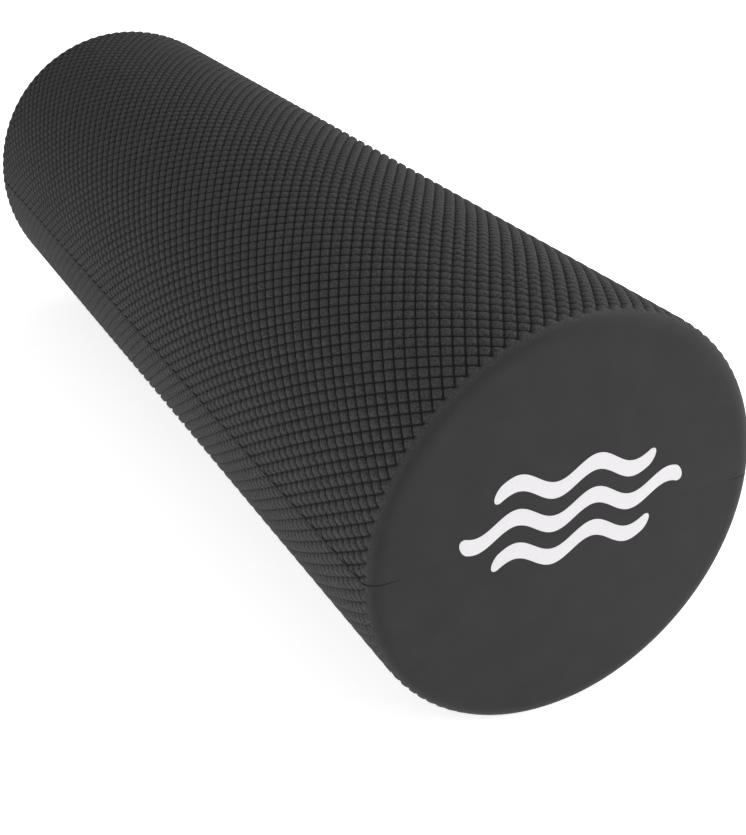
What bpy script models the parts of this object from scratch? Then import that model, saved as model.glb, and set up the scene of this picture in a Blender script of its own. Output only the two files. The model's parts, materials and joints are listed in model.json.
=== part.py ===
"""High-density foam roller, lying on its side, in metres and +Z up.

The roller is two half-round mouldings bonded along a flat joint through the axis.
The axis runs along Y, the joint is level, and the printed end faces -Y.
The origin is on the floor, under the middle of the roller.
"""
import math

import bpy
from mathutils import Vector

# Driving dimensions of the roller
LENGTH = 0.450              # end face to end face
RADIUS = 0.075              # over the tops of the moulded texture
LIP_RADIAL = 0.0065         # how far the rounded lip takes the end face in from the barrel
LIP_AXIAL = 0.0045          # how far the same lip runs along the barrel
FACETS = 70                 # an even count that puts a flat, not an edge, at the bottom
LIP_STEPS = 6

# The bonded joint between the two mouldings
MESH_GAP = 0.0003           # clearance kept between touching pieces
BOND_THICKNESS = 0.0004     # cured contact adhesive
BOND_SETBACK = 0.0025       # the film stops this far inside the foam's edges
JOINT_WIDTH = BOND_THICKNESS + 2 * MESH_GAP

# The printed mark: three wavy stripes, one above the other
STRIPE_LENGTHS = {"mark_stripe_top": 0.056, "mark_stripe_middle": 0.080, "mark_stripe_bottom": 0.056}
STRIPE_WIDTH = 0.0062
STRIPE_PITCH = 0.0125
WAVE_HEIGHT = 0.0032        # from the middle line to a crest
WAVE_PERIOD = 0.030
INK_THICKNESS = 0.0003
MARK_RISE = 0.007           # the mark's middle above the roller's axis
WAVE_STEPS = 28
CAP_STEPS = 5

AXIS_HEIGHT = RADIUS * math.cos(math.pi / FACETS)   # axis above the bottom flat
END_Y = LENGTH / 2


def clear_scene():
    """Remove every object that the file starts with."""
    for thing in list(bpy.data.objects):
        bpy.data.objects.remove(thing, do_unlink=True)


def new_collection(name):
    """Make a collection in the scene and return it."""
    collection = bpy.data.collections.new(name)
    bpy.context.scene.collection.children.link(collection)
    return collection


def new_material(name, colour, roughness):
    """Make a plain non-metal material."""
    material = bpy.data.materials.new(name)
    material.use_nodes = True
    shader = material.node_tree.nodes["Principled BSDF"]
    shader.inputs["Base Color"].default_value = (*colour, 1.0)
    shader.inputs["Roughness"].default_value = roughness
    shader.inputs["Metallic"].default_value = 0.0
    return material


def place(thing, collection, material=None):
    """Link an object into its collection and give it its material."""
    collection.objects.link(thing)
    if material:
        thing.data.materials.append(material)
    return thing


def roller_profile():
    """Half-section of the roller, from the top pole down its outer side to the bottom pole."""
    rounding = [i * (math.pi / 2) / LIP_STEPS for i in range(LIP_STEPS + 1)]
    lip = [
        (RADIUS - LIP_RADIAL * (1 - math.sin(a)), END_Y - LIP_AXIAL * (1 - math.cos(a)))
        for a in rounding
    ]
    upper = [(0.0, END_Y)] + lip
    lower = [(radius, -height) for radius, height in reversed(upper)]
    return [(radius, 0.0, height) for radius, height in upper + lower]


def turned_roller(name):
    """The whole roller as one turned shape, its axis laid along Y."""
    points = roller_profile()
    mesh = bpy.data.meshes.new(name)
    mesh.from_pydata(points, [(i, i + 1) for i in range(len(points) - 1)], [])
    thing = bpy.data.objects.new(name, mesh)
    screw = thing.modifiers.new("Turn", "SCREW")
    screw.axis = "Z"
    screw.angle = math.tau
    screw.steps = FACETS
    screw.render_steps = FACETS
    screw.use_merge_vertices = True
    screw.merge_threshold = 0.00001
    thing.rotation_euler = (math.radians(90), 0.0, 0.0)
    thing.location = (0.0, 0.0, AXIS_HEIGHT)
    return thing


def joint_cutter(name, keeps_upper, collection):
    """A box that takes away one side of the joint and half of the joint's width."""
    depth = 2 * RADIUS
    edge = AXIS_HEIGHT + (JOINT_WIDTH / 2 if keeps_upper else -JOINT_WIDTH / 2)
    middle = edge - depth / 2 if keeps_upper else edge + depth / 2
    bpy.ops.mesh.primitive_cube_add(size=1.0, location=(0.0, 0.0, middle))
    cutter = bpy.context.object
    cutter.name = name
    cutter.scale = (4 * RADIUS, 2 * LENGTH, depth)
    cutter.hide_render = True
    cutter.display_type = "WIRE"
    for home in list(cutter.users_collection):
        home.objects.unlink(cutter)
    collection.objects.link(cutter)
    return cutter


def half_round(name, keeps_upper, collection, cutters, material):
    """One half-round foam moulding, with half of each end face and lip."""
    half = place(turned_roller(name), collection, material)
    cut = half.modifiers.new("Joint", "BOOLEAN")
    cut.operation = "DIFFERENCE"
    cut.solver = "EXACT"
    cut.object = joint_cutter(name + "_cutter", keeps_upper, cutters)
    return half


def bond_film(collection, material):
    """The sheet of cured adhesive that holds the two mouldings together."""
    bpy.ops.mesh.primitive_cube_add(size=1.0, location=(0.0, 0.0, AXIS_HEIGHT))
    film = bpy.context.object
    film.name = "bond_film"
    film.scale = (2 * (RADIUS - BOND_SETBACK), LENGTH - 2 * BOND_SETBACK, BOND_THICKNESS)
    for home in list(film.users_collection):
        home.objects.unlink(film)
    return place(film, collection, material)


def stripe_outline(length):
    """Closed outline of a wavy stripe with round ends, drawn along X."""
    wave = math.tau / WAVE_PERIOD

    def centre(x):
        return Vector((x, WAVE_HEIGHT * math.sin(wave * x)))

    def side(x):
        slope = WAVE_HEIGHT * wave * math.cos(wave * x)
        return Vector((-slope, 1.0)).normalized() * STRIPE_WIDTH / 2

    def cap(x, turn_from):
        radius = side(x).length
        start = math.atan2(side(x).y, side(x).x) + turn_from
        turns = [start - math.pi * i / CAP_STEPS for i in range(1, CAP_STEPS)]
        return [centre(x) + radius * Vector((math.cos(t), math.sin(t))) for t in turns]

    xs = [length * (i / WAVE_STEPS - 0.5) for i in range(WAVE_STEPS + 1)]
    top = [centre(x) + side(x) for x in xs]
    bottom = [centre(x) - side(x) for x in reversed(xs)]
    return top + cap(xs[-1], 0.0) + bottom + cap(xs[0], math.pi)


def mark_stripe(name, length, rise, collection, material):
    """One printed stripe, lying just off the -Y end face."""
    curve = bpy.data.curves.new(name, "CURVE")
    curve.dimensions = "2D"
    curve.fill_mode = "BOTH"
    curve.extrude = INK_THICKNESS / 2
    outline = stripe_outline(length)
    spline = curve.splines.new("POLY")
    spline.points.add(len(outline) - 1)
    for point, place_at in zip(spline.points, outline):
        point.co = (place_at.x, place_at.y, 0.0, 1.0)
    spline.use_cyclic_u = True
    stripe = bpy.data.objects.new(name, curve)
    stripe.rotation_euler = (math.radians(90), 0.0, 0.0)
    stripe.location = (0.0, -END_Y - MESH_GAP - INK_THICKNESS / 2, AXIS_HEIGHT + rise)
    return place(stripe, collection, material)


def build():
    """Build every piece of the roller."""
    clear_scene()
    parts = new_collection("foam_roller")
    cutters = new_collection("cutters")
    foam = new_material("eva_foam", (0.042, 0.042, 0.042), 0.75)
    adhesive = new_material("contact_adhesive", (0.16, 0.12, 0.05), 0.5)
    ink = new_material("screen_ink", (0.85, 0.85, 0.85), 0.55)
    half_round("upper_half", True, parts, cutters, foam)
    half_round("lower_half", False, parts, cutters, foam)
    bond_film(parts, adhesive)
    rises = [STRIPE_PITCH, 0.0, -STRIPE_PITCH]
    for (name, length), rise in zip(STRIPE_LENGTHS.items(), rises):
        mark_stripe(name, length, MARK_RISE + rise, parts, ink)


build()
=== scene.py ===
"""Looks of a round foam roller: two moulded EVA half-rounds bonded along a level joint, with a printed end.

The roller lies along Y. Its printed end faces -Y, and the joint plane is level, through the roller's axis.
"""

import json
import logging
import math
from collections.abc import Callable
from dataclasses import dataclass, field
from enum import Enum
from typing import Any

import bmesh
import bpy
import numpy as np
from mathutils import Euler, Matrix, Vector

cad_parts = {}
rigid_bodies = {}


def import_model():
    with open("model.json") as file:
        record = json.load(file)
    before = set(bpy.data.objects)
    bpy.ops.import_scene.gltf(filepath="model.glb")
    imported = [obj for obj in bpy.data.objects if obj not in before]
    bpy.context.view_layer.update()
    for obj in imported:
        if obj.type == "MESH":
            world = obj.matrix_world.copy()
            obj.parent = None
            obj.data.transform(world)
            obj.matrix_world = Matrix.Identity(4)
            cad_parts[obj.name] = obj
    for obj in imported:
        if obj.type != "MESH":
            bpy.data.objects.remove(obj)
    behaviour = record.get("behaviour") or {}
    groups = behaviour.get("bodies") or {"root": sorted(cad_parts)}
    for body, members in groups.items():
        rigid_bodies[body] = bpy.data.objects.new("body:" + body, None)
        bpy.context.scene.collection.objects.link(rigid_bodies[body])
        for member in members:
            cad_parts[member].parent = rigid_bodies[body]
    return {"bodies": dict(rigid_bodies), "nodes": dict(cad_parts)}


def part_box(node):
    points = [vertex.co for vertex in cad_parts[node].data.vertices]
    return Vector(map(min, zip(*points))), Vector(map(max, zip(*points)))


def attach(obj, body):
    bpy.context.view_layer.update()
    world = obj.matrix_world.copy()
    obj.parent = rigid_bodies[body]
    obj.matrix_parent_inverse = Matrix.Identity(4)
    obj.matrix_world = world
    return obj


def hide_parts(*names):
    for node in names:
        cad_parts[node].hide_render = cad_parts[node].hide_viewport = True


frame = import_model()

LOG = logging.getLogger("foam_roller")

MM = 0.001
WELD = 0.01 * MM  # points nearer than this are one point
ROOT_BODY = "root"

Inputs = dict[str | int, Any]


class Slot(Enum):
    """The record's material slots."""

    FOAM = "foam"
    INK = "ink"


class Side(Enum):
    """Which half of the roller a moulding is; the value is its way from the joint along Z."""

    UPPER = 1
    LOWER = -1

    @property
    def start_angle(self) -> float:
        """Angle about the axis where the half's skin starts, from +X upwards."""
        return 0.0 if self is Side.UPPER else math.pi


# ---------------------------------------------------------------------------------------------------------
# Shader helpers
# ---------------------------------------------------------------------------------------------------------


def srgb(code: str) -> tuple[float, float, float, float]:
    """Turns an sRGB hex colour into linear RGBA.

    Args:
        code: Six hex digits, with or without a leading hash.

    Returns:
        The colour in linear light, with alpha 1.
    """
    digits = code.lstrip("#")
    channels = [int(digits[i : i + 2], 16) / 255 for i in (0, 2, 4)]
    linear = [c / 12.92 if c <= 0.04045 else ((c + 0.055) / 1.055) ** 2.4 for c in channels]
    return (linear[0], linear[1], linear[2], 1.0)


def add_node(
    tree: bpy.types.NodeTree,
    kind: str,
    settings: dict[str, Any] | None = None,
    inputs: Inputs | None = None,
) -> bpy.types.Node:
    """Adds one shader node with its settings, socket values and links.

    Args:
        tree: The node tree.
        kind: The node's type name.
        settings: Properties of the node itself.
        inputs: Value, or the output socket to link, for each input by name or index.

    Returns:
        The new node.
    """
    node = tree.nodes.new(kind)
    for name, value in (settings or {}).items():
        setattr(node, name, value)
    for key, value in (inputs or {}).items():
        if isinstance(value, bpy.types.NodeSocket):
            tree.links.new(value, node.inputs[key])
        else:
            node.inputs[key].default_value = value
    return node


def new_material(name: str) -> tuple[bpy.types.Material, bpy.types.NodeTree]:
    """Makes an empty node material.

    Args:
        name: The material's name.

    Returns:
        The material and its node tree.
    """
    material = bpy.data.materials.new(name)
    material.use_nodes = True
    material.node_tree.nodes.clear()
    return material, material.node_tree


def set_ramp(node: bpy.types.Node, stops: list[tuple[float, tuple[float, float, float, float]]]) -> None:
    """Sets a colour ramp's stops.

    Args:
        node: A colour ramp node.
        stops: Position and linear colour of each stop, in order.
    """
    ramp = node.color_ramp
    while len(ramp.elements) < len(stops):
        ramp.elements.new(1.0)
    for element, (position, colour) in zip(ramp.elements, stops):
        element.position = position
        element.color = colour


# ---------------------------------------------------------------------------------------------------------
# Finishes
# ---------------------------------------------------------------------------------------------------------


@dataclass(frozen=True)
class MouldedEvaFoam:
    """Closed-cell EVA foam with a moulded skin: charcoal, dull and finely grained, with painted shade in the
    grooves.
    """

    name: str = "charcoal_moulded_EVA_foam"
    # Painted light: the groove colour is painted shade down in the grooves; the crowns, paler than the plain
    # lips and ends, carry partly painted sheen.
    crown: str = "373737"
    groove: str = "1a1a1a"
    bloom: str = "3c3e3d"  # of the paler patches
    plain: str = "222222"  # of the lips and flat ends
    painted_shade_up_to: float = 0.22  # share of a groove's height that is in the groove's colour, the painted groove shade
    pale_from: float = 0.60  # share of its height from which the crown's colour holds
    cloud: float = 14 * MM  # how far the pale and dark patches of the moulded skin are apart
    cloud_on_end: float = 0.12
    cloud_on_barrel: float = 0.35
    grain: float = 0.60 * MM  # the etched mould's grain is about 0.3 mm; drawn coarser, so that it shows
    grain_depth: float = 0.30 * MM
    grain_on_end: float = 0.12  # share of the barrel's grain
    speckle: float = 0.6  # how much paler and darker than the skin the specks are: grain, with the pale specks partly painted glints
    end_roughness: float = 0.52
    barrel_roughness: float = 0.62
    uneven_roughness: float = 0.2
    gloss: float = 0.18

    def material(self) -> bpy.types.Material:
        """Builds the foam's material.

        Returns:
            The material; it reads the moulding's height and etching attributes.
        """
        material, tree = new_material(self.name)
        place = add_node(tree, "ShaderNodeTexCoord").outputs["Object"]
        height, etched = (
            add_node(tree, "ShaderNodeAttribute", {"attribute_name": name}).outputs["Fac"]
            for name in (HalfMoulding.HEIGHT, HalfMoulding.ETCHED)
        )

        # Skin colour: painted shade near black in the grooves, charcoal on the crowns with partly painted
        # sheen, a shade plainer on lips and ends.
        depth = add_node(
            tree,
            "ShaderNodeMapRange",
            {"interpolation_type": "SMOOTHSTEP"},
            {"Value": height, "From Min": self.painted_shade_up_to, "From Max": self.pale_from},
        )
        lozenge = add_node(
            tree,
            "ShaderNodeMix",
            {"data_type": "RGBA"},
            {"Factor": depth.outputs["Result"], 6: srgb(self.groove), 7: srgb(self.crown)},
        )
        skin = add_node(
            tree,
            "ShaderNodeMix",
            {"data_type": "RGBA"},
            {"Factor": etched, 6: srgb(self.plain), 7: lozenge.outputs[2]},
        )

        # Soft cloudy patches, from uneven cooling of the mould; the ends show them only faintly.
        cloud = add_node(
            tree,
            "ShaderNodeTexNoise",
            inputs={"Vector": place, "Scale": 1 / self.cloud, "Detail": 3.0, "Roughness": 0.55},
        )
        strength = add_node(
            tree,
            "ShaderNodeMapRange",
            inputs={"Value": etched, "To Min": self.cloud_on_end, "To Max": self.cloud_on_barrel},
        )
        patches = add_node(
            tree,
            "ShaderNodeMapRange",
            inputs={
                "Value": cloud.outputs["Fac"],
                "From Min": 0.4,
                "From Max": 0.8,
                "To Max": strength.outputs["Result"],
            },
        )
        lit = add_node(
            tree, "ShaderNodeMath", {"operation": "MULTIPLY"}, {0: patches.outputs["Result"], 1: height}
        )
        clouded = add_node(
            tree,
            "ShaderNodeMix",
            {"data_type": "RGBA"},
            {"Factor": lit.outputs[0], 6: skin.outputs[2], 7: srgb(self.bloom)},
        )

        # Grain: the pebbled print of the mould's etched barrel; the lips and ends come out much smoother.
        grain = add_node(
            tree,
            "ShaderNodeTexNoise",
            inputs={"Vector": place, "Scale": 1 / self.grain, "Detail": 2.0, "Roughness": 0.6},
        )
        amount = add_node(
            tree,
            "ShaderNodeMapRange",
            inputs={"Value": etched, "To Min": self.grain_on_end, "To Max": 1.0},
        )
        # Speckle: grain in the colour; its pale specks are partly painted glints.
        swing = add_node(
            tree,
            "ShaderNodeMapRange",
            inputs={
                "Value": grain.outputs["Fac"],
                "From Min": 0.3,
                "From Max": 0.7,
                "To Min": -self.speckle,
                "To Max": self.speckle,
            },
        )
        speck = add_node(
            tree,
            "ShaderNodeMath",
            {"operation": "MULTIPLY_ADD"},
            {0: swing.outputs["Result"], 1: amount.outputs["Result"], 2: 1.0},
        )
        speckled = add_node(
            tree,
            "ShaderNodeVectorMath",
            {"operation": "SCALE"},
            {0: clouded.outputs[2], "Scale": speck.outputs[0]},
        )
        bump = add_node(
            tree,
            "ShaderNodeBump",
            inputs={
                "Height": grain.outputs["Fac"],
                "Strength": amount.outputs["Result"],
                "Distance": self.grain_depth,
            },
        )

        # Dull on the etched barrel; the polished mould leaves the lips and ends a little sheen.
        sheen = add_node(
            tree,
            "ShaderNodeMapRange",
            inputs={"Value": etched, "To Min": self.end_roughness, "To Max": self.barrel_roughness},
        )
        dull = add_node(
            tree,
            "ShaderNodeMath",
            {"operation": "MULTIPLY_ADD"},
            {0: grain.outputs["Fac"], 1: self.uneven_roughness, 2: sheen.outputs["Result"]},
        )
        shader = add_node(
            tree,
            "ShaderNodeBsdfPrincipled",
            inputs={
                "Base Color": speckled.outputs[0],
                "Roughness": dull.outputs[0],
                "Normal": bump.outputs["Normal"],
                "IOR": 1.48,
                "Specular IOR Level": self.gloss,
            },
        )
        add_node(tree, "ShaderNodeOutputMaterial", inputs={"Surface": shader.outputs["BSDF"]})
        return material


@dataclass(frozen=True)
class ScreenInk:
    """Screen-printed vinyl ink: off-white and satin, with the foam's grain showing through faintly."""

    name: str = "off_white_screen_ink"
    colour: str = "c5c3c5"
    thin: str = "b5b4b6"
    mesh: float = 0.5 * MM  # the print follows the foam's grain underneath

    def material(self) -> bpy.types.Material:
        """Builds the ink's material.

        Returns:
            The material.
        """
        material, tree = new_material(self.name)
        place = add_node(tree, "ShaderNodeTexCoord").outputs["Object"]
        grain = add_node(
            tree,
            "ShaderNodeTexNoise",
            inputs={"Vector": place, "Scale": 1 / self.mesh, "Detail": 2.0},
        )
        tone = add_node(tree, "ShaderNodeValToRGB", inputs={"Fac": grain.outputs["Fac"]})
        set_ramp(tone, [(0.25, srgb(self.thin)), (0.45, srgb(self.colour))])
        bump = add_node(
            tree,
            "ShaderNodeBump",
            inputs={"Height": grain.outputs["Fac"], "Strength": 0.25, "Distance": 0.05 * MM},
        )
        shader = add_node(
            tree,
            "ShaderNodeBsdfPrincipled",
            inputs={
                "Base Color": tone.outputs["Color"],
                "Roughness": 0.5,
                "Normal": bump.outputs["Normal"],
                "IOR": 1.5,
            },
        )
        add_node(tree, "ShaderNodeOutputMaterial", inputs={"Surface": shader.outputs["BSDF"]})
        return material


@dataclass(frozen=True)
class ContactAdhesive:
    """Dried neoprene contact adhesive: an amber, rubbery film with brush streaks."""

    name: str = "dried_contact_adhesive"
    colour: str = "8a6a35"
    streak: str = "6d5128"
    brush: float = 3 * MM  # spacing of the brush streaks

    def material(self) -> bpy.types.Material:
        """Builds the adhesive's material.

        Returns:
            The material.
        """
        material, tree = new_material(self.name)
        place = add_node(tree, "ShaderNodeTexCoord").outputs["Object"]
        along = add_node(tree, "ShaderNodeMapping", inputs={"Vector": place, "Scale": (1.0, 0.08, 1.0)})
        streaks = add_node(
            tree,
            "ShaderNodeTexNoise",
            inputs={"Vector": along.outputs["Vector"], "Scale": 1 / self.brush, "Detail": 4.0},
        )
        tone = add_node(tree, "ShaderNodeValToRGB", inputs={"Fac": streaks.outputs["Fac"]})
        set_ramp(tone, [(0.35, srgb(self.streak)), (0.65, srgb(self.colour))])
        bump = add_node(
            tree,
            "ShaderNodeBump",
            inputs={"Height": streaks.outputs["Fac"], "Strength": 0.4, "Distance": 0.1 * MM},
        )
        shader = add_node(
            tree,
            "ShaderNodeBsdfPrincipled",
            inputs={
                "Base Color": tone.outputs["Color"],
                "Roughness": 0.38,
                "Normal": bump.outputs["Normal"],
                "IOR": 1.52,
            },
        )
        add_node(tree, "ShaderNodeOutputMaterial", inputs={"Surface": shader.outputs["BSDF"]})
        return material


@dataclass(frozen=True)
class OpalAcrylic:
    """Opal acrylic table top, lit from beneath: white, matt and shadowless but for a faint contact shade."""

    name: str = "backlit_opal_acrylic"
    colour: str = "f4f4f4"
    tooth: float = 2.5 * MM  # the sanded top's faint tooth
    glow: float = 0.66

    def material(self) -> bpy.types.Material:
        """Builds the table top's material.

        Returns:
            The material.
        """
        material, tree = new_material(self.name)
        place = add_node(tree, "ShaderNodeTexCoord").outputs["Object"]
        tooth = add_node(tree, "ShaderNodeTexNoise", inputs={"Vector": place, "Scale": 1 / self.tooth})
        bump = add_node(
            tree,
            "ShaderNodeBump",
            inputs={"Height": tooth.outputs["Fac"], "Strength": 0.05, "Distance": 0.1 * MM},
        )
        shader = add_node(
            tree,
            "ShaderNodeBsdfPrincipled",
            inputs={
                "Base Color": srgb(self.colour),
                "Roughness": 0.9,
                "Normal": bump.outputs["Normal"],
                "Specular IOR Level": 0.2,
                "Emission Color": srgb("ffffff"),
                "Emission Strength": self.glow,
            },
        )
        add_node(tree, "ShaderNodeOutputMaterial", inputs={"Surface": shader.outputs["BSDF"]})
        return material


# ---------------------------------------------------------------------------------------------------------
# Modelling helpers
# ---------------------------------------------------------------------------------------------------------


def start_editing() -> bpy.types.Object:
    """Enters edit mode on the active object.

    Returns:
        The object.
    """
    obj = bpy.context.active_object
    bpy.ops.object.mode_set(mode="EDIT")
    return obj


def pick(obj: bpy.types.Object, mode: str, test: Callable[[Any], bool]) -> None:
    """Selects the vertices or edges that pass a test, and nothing else.

    Args:
        obj: The object in edit mode.
        mode: "VERT" or "EDGE".
        test: Takes a BMVert or a BMEdge.
    """
    bpy.ops.mesh.select_mode(type=mode)
    bpy.ops.mesh.select_all(action="DESELECT")
    mesh = bmesh.from_edit_mesh(obj.data)
    found = [e for e in (mesh.verts if mode == "VERT" else mesh.edges) if test(e)]
    for element in found:
        element.select_set(True)
    mesh.select_flush_mode()
    bmesh.update_edit_mesh(obj.data)


def fit_selected(obj: bpy.types.Object, half_x: float, half_y: float, z: float) -> None:
    """Scales the selected ring about the origin to the half sizes given, and moves it to a height.

    Args:
        obj: The object in edit mode.
        half_x: Wanted half size along X.
        half_y: Wanted half size along Y.
        z: Wanted height; the ring is level.
    """
    chosen = [v.co.copy() for v in bmesh.from_edit_mesh(obj.data).verts if v.select]
    wide = half_x / max(abs(c.x) for c in chosen)
    long = half_y / max(abs(c.y) for c in chosen)
    bpy.ops.transform.resize(value=(wide, long, 1.0), center_override=(0, 0, 0))
    bpy.ops.transform.translate(value=(0, 0, z - chosen[0].z))


def gather_to_corners(obj: bpy.types.Object, half_x: float, half_y: float, z: float) -> None:
    """Draws the selected ring's points together into the four corners of a lozenge, and welds them.

    Args:
        obj: The object in edit mode.
        half_x: From the lozenge's middle to its corners on X.
        half_y: From the lozenge's middle to its corners on Y.
        z: The lozenge's height.
    """
    mesh = bmesh.from_edit_mesh(obj.data)
    for point in [v for v in mesh.verts if v.select]:
        if abs(point.co.x) / half_x > abs(point.co.y) / half_y:
            point.co = (math.copysign(half_x, point.co.x), 0, z)
        else:
            point.co = (0, math.copysign(half_y, point.co.y), z)
    bmesh.update_edit_mesh(obj.data)
    bpy.ops.mesh.remove_doubles(threshold=WELD)


def array(obj: bpy.types.Object, count: int, offset: tuple[float, float, float]) -> None:
    """Repeats an object's mesh with an applied Array modifier that welds the copies.

    Args:
        obj: The active object, in object mode.
        count: Number of copies, the first included.
        offset: From one copy to the next.
    """
    copies = obj.modifiers.new("row", "ARRAY")
    copies.count = count
    copies.use_relative_offset = False
    copies.use_constant_offset = True
    copies.constant_offset_displace = offset
    copies.use_merge_vertices = True
    copies.merge_threshold = WELD
    bpy.ops.object.modifier_apply(modifier=copies.name)


def cut(point: tuple[float, float, float], normal: tuple[float, float, float], clear: bool) -> None:
    """Cuts the whole mesh of the object in edit mode with a plane.

    Args:
        point: A point of the plane.
        normal: The plane's normal.
        clear: Whether what lies on the normal's side is deleted.
    """
    bpy.ops.mesh.select_all(action="SELECT")
    bpy.ops.mesh.bisect(plane_co=point, plane_no=normal, clear_outer=clear, threshold=WELD / 10)


def coordinates(obj: bpy.types.Object) -> np.ndarray:
    """Reads an object's vertex positions.

    Args:
        obj: The object, in object mode.

    Returns:
        Rows of x, y, z, one for each vertex.
    """
    flat = np.empty(len(obj.data.vertices) * 3, np.float32)
    obj.data.vertices.foreach_get("co", flat)
    return flat.reshape(-1, 3).astype(float)


def put_coordinates(obj: bpy.types.Object, points: np.ndarray) -> None:
    """Writes vertex positions back.

    Args:
        obj: The object, in object mode.
        points: Rows of x, y, z, one for each vertex.
    """
    obj.data.vertices.foreach_set("co", points.astype(np.float32).ravel())
    obj.data.update()


# ---------------------------------------------------------------------------------------------------------
# Sub-assemblies
# ---------------------------------------------------------------------------------------------------------


@dataclass
class RollerSkin:
    """The roller's outer form and the lozenge lattice that its mould presses into it."""

    radius: float
    end: float  # from the middle to the flat end
    axis_height: float
    lip_radial: float = 6.5 * MM
    lip_axial: float = 4.5 * MM
    margin: float = 3.2 * MM  # plain lip beyond the last lozenges, along the axis
    rows_along: int = 58
    rows_around: int = 49  # on each half
    samples: int = 400

    def __post_init__(self) -> None:
        """Samples the profile once: barrel, elliptical lip, flat end."""
        turn = np.linspace(0, math.pi / 2, self.samples)
        axial = np.concatenate(([0.0], self.end - self.lip_axial * (1 - np.sin(turn)), [self.end]))
        radial = np.concatenate(([self.radius], self.radius - self.lip_radial * (1 - np.cos(turn)), [0.0]))
        self._axial = axial
        self._radial = radial
        self._length = np.concatenate(([0.0], np.cumsum(np.hypot(np.diff(axial), np.diff(radial)))))
        slope = np.concatenate(([0.0], turn, [math.pi / 2]))
        ellipse = np.arctan2(np.sin(slope) * self.lip_radial, np.cos(slope) * self.lip_axial)
        self._tilt = np.where(slope == math.pi / 2, math.pi / 2, ellipse)

    @property
    def arc(self) -> float:
        """Length of a half's skin around the axis."""
        return math.pi * self.radius

    @property
    def flat_radius(self) -> float:
        """Radius of the flat end, inside the lip."""
        return self.radius - self.lip_radial

    @property
    def texture_end(self) -> float:
        """Distance along the skin from the middle to the last lozenges' tips."""
        return self.end - self.margin

    @property
    def pitch_along(self) -> float:
        """Lozenge spacing along the axis."""
        return 2 * self.texture_end / self.rows_along

    @property
    def pitch_around(self) -> float:
        """Lozenge spacing around the axis."""
        return self.arc / self.rows_around

    @property
    def lip_end(self) -> float:
        """Distance along the skin from the middle to where the flat end begins."""
        return float(self._length[-2])

    def down_end(self, radius: float) -> float:
        """Measures down the flat end to a radius.

        Args:
            radius: Distance from the axis, on the flat end.

        Returns:
            Distance along the skin from the middle.
        """
        return float(self._length[-1]) - radius

    def wrap(self, flat: np.ndarray, start_angle: float) -> np.ndarray:
        """Rolls a flat sheet onto the roller.

        Args:
            flat: Rows of distance around from the joint, signed distance along from the middle, and height.
            start_angle: Angle about the axis where the sheet starts, from +X upwards.

        Returns:
            The same points in the roller's frame.
        """
        along = np.abs(flat[:, 1])
        axial = np.interp(along, self._length, self._axial)
        radial = np.interp(along, self._length, self._radial)
        tilt = np.interp(along, self._length, self._tilt)
        radial = radial + flat[:, 2] * np.cos(tilt)
        axial = axial + flat[:, 2] * np.sin(tilt)
        angle = start_angle + flat[:, 0] / self.radius
        x = radial * np.cos(angle)
        z = self.axis_height + radial * np.sin(angle)
        return np.column_stack((x, np.sign(flat[:, 1]) * axial, z))


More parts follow.
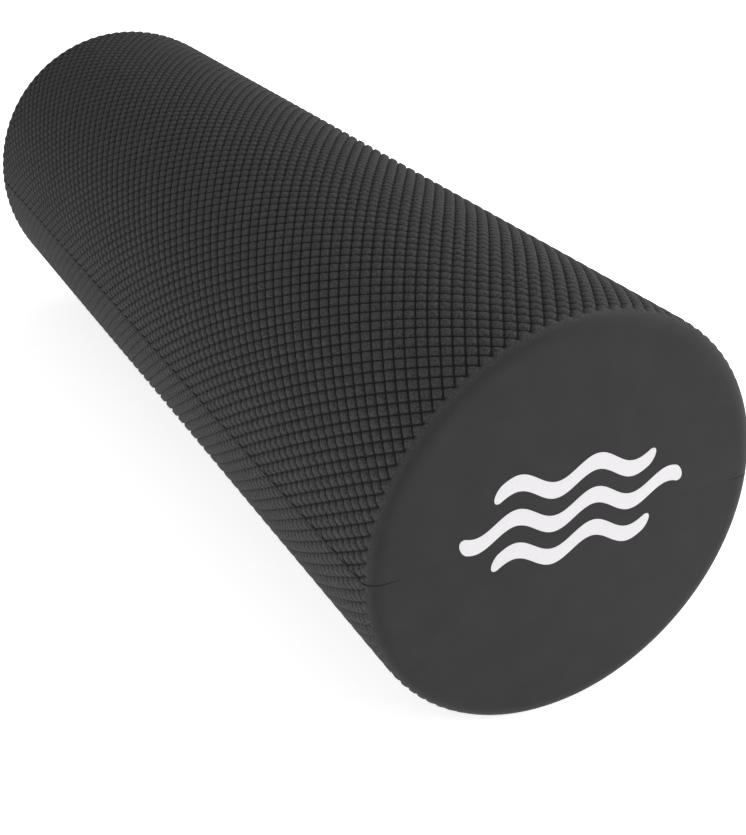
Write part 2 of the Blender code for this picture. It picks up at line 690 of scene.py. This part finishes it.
@dataclass
class HalfMoulding:
    """One half-round: lozenge-textured barrel, plain rounded lips, flat ends and a level joint face."""

    HEIGHT = "crown_height"
    ETCHED = "etched_barrel"

    name: str
    cad_node: str
    side: Side
    skin: RollerSkin
    foam: bpy.types.Material
    relief: float  # depth of the grooves
    darkest_shade_depth: float = 1.0 * MM  # where the painted groove shade is at its darkest
    shoulder: float = 0.72 * MM  # from a groove's middle to the lozenge's rounded shoulder
    shoulder_drop: float = 0.12  # share of the relief still missing at the shoulder
    top_edge: float = 1.35 * MM  # from a groove's middle to the flat top
    corner: float = 0.95 * MM  # rounding of the lozenge's corners
    fade: float = 1.1 * MM  # how soon the last grooves run out on the lip
    smear: float = 3.5 * MM  # over how much of the lip the barrel's coarse grain runs out
    lip_rows: int = 8
    land_gap: float = 0.002 * MM  # from the joint plane to the joint's land
    joint_rounding: float = 0.40 * MM
    joint_shade: float = 0.75 * MM  # how far from the joint the painted shade of its crease reaches
    joint_rows: tuple[float, ...] = (0.09 * MM, 0.22 * MM, 0.40 * MM)
    land: float = 2.2 * MM  # rim of the joint face that shuts; the adhesive film lies inside it
    recess: float = 0.29 * MM
    end_trace: float = 5 * MM  # how far the rounding of the joint runs in over the flat end
    end_rows: tuple[float, ...] = (0.33, 0.66, 1.0, 1.3)  # rows of points on the flat end, in end traces
    end_fill: float = 1.2  # inside this many end traces the flat end is one face
    smooth_up_to: float = math.radians(62)

    def build(self) -> bpy.types.Object:
        """Models and dresses the half-round.

        Returns:
            The finished piece.
        """
        obj = self.lozenge_pair()
        self.lay_out(obj)
        self.add_lips(obj)
        self.mark_joint_rows()
        self.roll_up(obj)
        self.close_ends(obj)
        self.close_joint(obj)
        bpy.ops.object.shade_smooth_by_angle(angle=self.smooth_up_to)
        obj.data.materials.clear()
        obj.data.materials.append(self.foam)
        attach(obj, ROOT_BODY)
        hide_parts(self.cad_node)
        return obj

    def lozenge_pair(self) -> bpy.types.Object:
        """Models one flat-topped lozenge and its staggered neighbour.

        Returns:
            The pair, flat, with the first lozenge centred half a pitch in from the origin both ways.
        """
        half_x = self.skin.pitch_around / 2
        half_y = self.skin.pitch_along / 2
        reach = half_x * half_y / math.hypot(half_x, half_y)  # from the middle square to a side
        shoulder_share = 1 - self.shoulder / reach
        top_share = 1 - self.top_edge / reach
        bpy.ops.object.select_all(action="DESELECT")
        bpy.ops.mesh.primitive_circle_add(vertices=4, radius=1.0, fill_type="NGON")
        obj = start_editing()
        obj.name = self.name
        obj.data.name = self.name
        bpy.ops.mesh.select_all(action="SELECT")
        fit_selected(obj, half_x * shoulder_share, half_y * shoulder_share, -self.relief * self.shoulder_drop)
        bpy.ops.mesh.bevel(affect="VERTICES", offset=self.corner, segments=1)

        # Flat top: inset, and each corner's two points drawn into one.
        bpy.ops.mesh.select_mode(type="FACE")
        bpy.ops.mesh.select_all(action="SELECT")
        bpy.ops.mesh.inset(thickness=self.corner / 4)
        gather_to_corners(obj, half_x * top_share, half_y * top_share, 0.0)

        # Groove: the outline extruded out and down to the lattice line, corners drawn together again.
        pick(obj, "EDGE", lambda e: e.is_boundary)
        bpy.ops.mesh.extrude_edges_move()
        gather_to_corners(obj, half_x, half_y, -self.relief)

        bpy.ops.mesh.select_all(action="SELECT")
        bpy.ops.transform.translate(value=(half_x, half_y, 0))
        bpy.ops.mesh.duplicate_move(TRANSFORM_OT_translate={"value": (-half_x, -half_y, 0)})
        bpy.ops.mesh.select_all(action="SELECT")
        bpy.ops.mesh.remove_doubles(threshold=WELD)
        bpy.ops.object.mode_set(mode="OBJECT")
        return obj

    def lay_out(self, obj: bpy.types.Object) -> None:
        """Repeats the pair over the flat sheet and trims it square, through the border lozenges' middles.

        Args:
            obj: The lozenge pair.
        """
        array(obj, self.skin.rows_around + 1, (self.skin.pitch_around, 0, 0))
        array(obj, self.skin.rows_along + 1, (0, self.skin.pitch_along, 0))
        start_editing()
        bpy.ops.mesh.select_all(action="SELECT")
        bpy.ops.mesh.remove_doubles(threshold=WELD)
        bpy.ops.transform.translate(value=(0, -self.skin.texture_end, 0))
        cut((self.skin.arc, 0, 0), (1, 0, 0), True)
        cut((0, 0, 0), (-1, 0, 0), True)
        cut((0, self.skin.texture_end, 0), (0, 1, 0), True)
        cut((0, -self.skin.texture_end, 0), (0, -1, 0), True)
        bpy.ops.object.mode_set(mode="OBJECT")

    def add_lips(self, obj: bpy.types.Object) -> None:
        """Extrudes the sheet's two end borders into plain lips and the outer part of the flat ends.

        Args:
            obj: The flat sheet.
        """
        skin = self.skin
        rows = list(np.linspace(skin.texture_end + self.fade, skin.lip_end, self.lip_rows))
        rows += [skin.down_end(skin.flat_radius - self.end_trace * share) for share in self.end_rows]
        start_editing()
        for sign in (-1, 1):
            reached = skin.texture_end
            for row in rows:
                border = sign * reached
                pick(obj, "EDGE", lambda e: all(abs(v.co.y - border) < WELD for v in e.verts))
                bpy.ops.mesh.extrude_edges_move(
                    TRANSFORM_OT_translate={"value": (0, sign * (row - reached), 0)}
                )
                bpy.ops.transform.resize(value=(1, 1, 0), center_override=(0, 0, 0))
                reached = row
        bpy.ops.object.mode_set(mode="OBJECT")

    def mark_joint_rows(self) -> None:
        """Cuts rows of points into the flat sheet beside the joint, for its rounded edges."""
        start_editing()
        for near in self.joint_rows:
            cut((near, 0, 0), (1, 0, 0), False)
            cut((self.skin.arc - near, 0, 0), (1, 0, 0), False)
        bpy.ops.object.mode_set(mode="OBJECT")

    def roll_up(self, obj: bpy.types.Object) -> None:
        """Wraps the flat sheet into a half-round, with its joint edges rounded and its foot pressed flat.

        Args:
            obj: The flat sheet with its lips and joint rows.
        """
        skin = self.skin
        flat = coordinates(obj)
        along = np.abs(flat[:, 1])
        near = np.minimum(flat[:, 0], skin.arc - flat[:, 0])

        # What the foam's material reads: its height above a full groove, which drives the painted groove
        # shade, and where the mould is etched.
        crown = np.clip(1 + flat[:, 2] / self.darkest_shade_depth, 0, 1)
        # Painted shade along the joint's crease: near the joint the height is cut down, so the foam is
        # painted darker there.
        crown *= np.clip(near / self.joint_shade, 0, 1)
        etched = np.clip(1 + (skin.texture_end - along) / self.smear, 0, 1)

        # The joint's edges are rounded along the barrel; the rounding runs out over the flat ends.
        inside = np.clip(1 - near / self.joint_rounding, 0, 1)
        left = (skin.down_end(skin.flat_radius - self.end_trace) - along) / self.end_trace
        flat[:, 2] -= self.joint_rounding * (1 - np.sqrt(1 - inside**2)) * np.clip(left, 0, 1)

        # Rolled up, kept on its own side of the joint, and pressed flat where it lies on the floor.
        points = skin.wrap(flat, self.side.start_angle)
        way = self.side.value
        rise = way * (points[:, 2] - skin.axis_height)
        points[:, 2] = skin.axis_height + way * np.maximum(rise, self.land_gap)
        points[:, 2] = np.maximum(points[:, 2], 0.0)
        put_coordinates(obj, points)
        for name, values in ((self.HEIGHT, crown), (self.ETCHED, etched)):
            attribute = obj.data.attributes.new(name, "FLOAT", "POINT")
            attribute.data.foreach_set("value", values.astype(np.float32))

    def close_ends(self, obj: bpy.types.Object) -> None:
        """Fills the middle of each flat end with one half-round face.

        Args:
            obj: The open half-round.
        """
        inner = self.skin.flat_radius - self.end_fill * self.end_trace
        centre = self.skin.axis_height
        start_editing()
        for sign in (-1, 1):
            pick(
                obj,
                "EDGE",
                lambda e: e.is_boundary
                and all(v.co.y * sign > 0 and math.hypot(v.co.x, v.co.z - centre) < inner for v in e.verts),
            )
            bpy.ops.mesh.edge_face_add()
        bpy.ops.object.mode_set(mode="OBJECT")

    def close_joint(self, obj: bpy.types.Object) -> None:
        """Fills the joint face, with a shallow recess for the adhesive film inside a land that shuts.

        Args:
            obj: The half-round, open at the joint.
        """
        wide = self.skin.radius - self.land
        long = self.skin.end - self.land
        deeper = self.side.value * (self.recess - self.land_gap)
        start_editing()
        pick(obj, "EDGE", lambda e: e.is_boundary)
        bpy.ops.mesh.extrude_edges_move()
        mesh = bmesh.from_edit_mesh(obj.data)
        for point in [v for v in mesh.verts if v.select]:
            point.co.x = max(-wide, min(wide, point.co.x))
            point.co.y = max(-long, min(long, point.co.y))
        bmesh.update_edit_mesh(obj.data)
        bpy.ops.mesh.remove_doubles(threshold=WELD)
        pick(obj, "EDGE", lambda e: e.is_boundary)
        bpy.ops.mesh.extrude_edges_move(TRANSFORM_OT_translate={"value": (0, 0, deeper)})
        bpy.ops.mesh.edge_face_add()
        bpy.ops.mesh.select_all(action="SELECT")
        bpy.ops.mesh.normals_make_consistent(inside=False)
        bpy.ops.object.mode_set(mode="OBJECT")


@dataclass
class PrintedWave:
    """One stripe of the printed end mark: a wavy bar with round ends."""

    name: str
    cad_node: str
    end_y: float
    ink: bpy.types.Material
    wave_height: float = 3.2 * MM
    wave_period: float = 30 * MM
    thickness: float = 0.05 * MM
    cuts: int = 55
    cap_points: int = 24
    smooth_up_to: float = math.radians(40)

    def build(self) -> bpy.types.Object:
        """Models and dresses the stripe.

        Returns:
            The finished piece.
        """
        low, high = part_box(self.cad_node)
        middle = (low + high) / 2
        width = high.z - low.z - 2 * self.wave_height
        straight = high.x - low.x - width
        bpy.ops.object.select_all(action="DESELECT")
        bpy.ops.mesh.primitive_circle_add(
            vertices=self.cap_points, radius=width / 2, fill_type="NGON", rotation=(math.pi / 2, 0, 0)
        )
        bpy.ops.object.transform_apply(location=True, rotation=True, scale=True)
        obj = start_editing()
        obj.name = self.name
        obj.data.name = self.name

        # The round dot is pulled out into a bar, whose long sides then follow the wave.
        for sign in (-1, 1):
            pick(obj, "VERT", lambda v: v.co.x * sign > WELD)
            bpy.ops.transform.translate(value=(sign * straight / 2, 0, 0))
        pick(obj, "EDGE", lambda e: e.calc_length() > straight / 3)
        bpy.ops.mesh.subdivide(number_cuts=self.cuts)
        bpy.ops.object.mode_set(mode="OBJECT")
        points = coordinates(obj)
        points[:, 2] += self.wave_height * np.sin(2 * math.pi * points[:, 0] / self.wave_period)
        put_coordinates(obj, points)

        start_editing()
        bpy.ops.mesh.select_all(action="SELECT")
        bpy.ops.transform.translate(value=(middle.x, self.end_y, middle.z))
        bpy.ops.mesh.extrude_region_move(TRANSFORM_OT_translate={"value": (0, -self.thickness, 0)})
        bpy.ops.mesh.select_all(action="SELECT")
        bpy.ops.mesh.normals_make_consistent(inside=False)
        bpy.ops.object.mode_set(mode="OBJECT")
        bpy.ops.object.shade_smooth_by_angle(angle=self.smooth_up_to)
        obj.data.materials.clear()
        obj.data.materials.append(self.ink)
        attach(obj, ROOT_BODY)
        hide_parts(self.cad_node)
        return obj


@dataclass(frozen=True)
class SoftLight:
    """One soft box of the studio."""

    name: str
    place: tuple[float, float, float]
    size: float
    power: float


@dataclass
class Studio:
    """Backlit white table, soft light all round, and the camera."""

    table: bpy.types.Material
    target: Vector
    floor_size: float = 12.0
    floor_drop: float = 0.02 * MM  # so that the roller's foot and the table top don't coincide
    sky: float = 0.36
    boxes: list[SoftLight] = field(default_factory=list)
    camera_place: tuple[float, float, float] = (-0.2254, -0.5169, 0.3078)
    camera_tilt: float = math.radians(62.05)
    camera_heading: float = math.radians(-27.56)
    lens: float = 57.3
    nearest: float = 10 * MM  # the camera's near clipping

    def build(self) -> None:
        """Builds the floor, lights, world and camera."""
        bpy.context.scene.view_settings.view_transform = "Standard"
        self.add_floor()
        self.add_world()
        for box in self.boxes:
            self.add_light(box)
        self.add_camera()

    def add_floor(self) -> None:
        """Adds the table top that the roller lies on."""
        bpy.ops.object.select_all(action="DESELECT")
        bpy.ops.mesh.primitive_plane_add(size=self.floor_size, location=(0, 0, -self.floor_drop))
        bpy.ops.object.transform_apply(location=True)
        floor = bpy.context.active_object
        floor.name = "studio_floor"
        floor.data.materials.append(self.table)

    def add_world(self) -> None:
        """Adds plain white light from all round."""
        world = bpy.data.worlds.new("white_studio")
        world.use_nodes = True
        background = world.node_tree.nodes["Background"]
        background.inputs["Color"].default_value = srgb("ffffff")
        background.inputs["Strength"].default_value = self.sky
        bpy.context.scene.world = world

    def add_light(self, box: SoftLight) -> None:
        """Adds a square area light that looks at the roller.

        Args:
            box: The light's name, place, size and power.
        """
        place = Vector(box.place)
        turned = (self.target - place).to_track_quat("-Z", "Y").to_euler()
        bpy.ops.object.light_add(type="AREA", location=place, rotation=turned)
        lamp = bpy.context.active_object
        lamp.name = box.name
        lamp.data.size = box.size
        lamp.data.energy = box.power

    def add_camera(self) -> None:
        """Adds the camera, level, looking down along the roller from its printed end."""
        turned = Euler((self.camera_tilt, 0, self.camera_heading))
        bpy.ops.object.camera_add(location=self.camera_place, rotation=turned)
        camera = bpy.context.active_object
        camera.data.lens = self.lens
        camera.data.clip_start = self.nearest
        bpy.context.scene.camera = camera


def dress(node: str, material: bpy.types.Material) -> None:
    """Gives a CAD node that stays as it is its finish.

    Args:
        node: The node's name.
        material: Its finish.
    """
    obj = frame["nodes"][node]
    obj.data.materials.clear()
    obj.data.materials.append(material)
    LOG.info("%s keeps its CAD shape, in %s", node, material.name)


def main() -> None:
    """Builds the roller and its studio."""
    logging.basicConfig(level=logging.INFO, format="%(name)s: %(message)s")
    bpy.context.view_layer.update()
    kept = set(frame["nodes"].values()) | set(frame["bodies"].values())
    for spare in [o for o in bpy.data.objects if o not in kept]:
        bpy.data.objects.remove(spare)

    lower_box, upper_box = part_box("lower_half"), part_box("upper_half")
    skin = RollerSkin(
        radius=(upper_box[1].x - upper_box[0].x) / 2,
        end=upper_box[1].y,
        axis_height=(lower_box[1].z + upper_box[0].z) / 2,
    )
    foam = MouldedEvaFoam().material()
    ink = ScreenInk().material()
    pieces: list[HalfMoulding | PrintedWave] = [
        HalfMoulding("upper_moulding", "upper_half", Side.UPPER, skin, foam, relief=1.0 * MM),
        HalfMoulding("lower_moulding", "lower_half", Side.LOWER, skin, foam, relief=0.85 * MM),
    ]
    for row in ("top", "middle", "bottom"):
        pieces.append(PrintedWave(f"printed_wave_{row}", f"mark_stripe_{row}", end_y=upper_box[0].y, ink=ink))
    for piece in pieces:
        made = piece.build()
        LOG.info("%s: %d faces", made.name, len(made.data.polygons))
    dress("bond_film", ContactAdhesive().material())

    Studio(
        table=OpalAcrylic().material(),
        target=Vector((0, 0, skin.axis_height)),
        boxes=[
            SoftLight("left_soft_box", place=(-1.20, -0.85, 0.95), size=1.0, power=9.0),
            SoftLight("right_soft_box", place=(1.50, -1.50, 0.80), size=1.2, power=29.0),
            SoftLight("high_soft_box", place=(1.30, 0.00, 1.40), size=1.2, power=20.0),
        ],
    ).build()


if __name__ == "__main__":
    main()
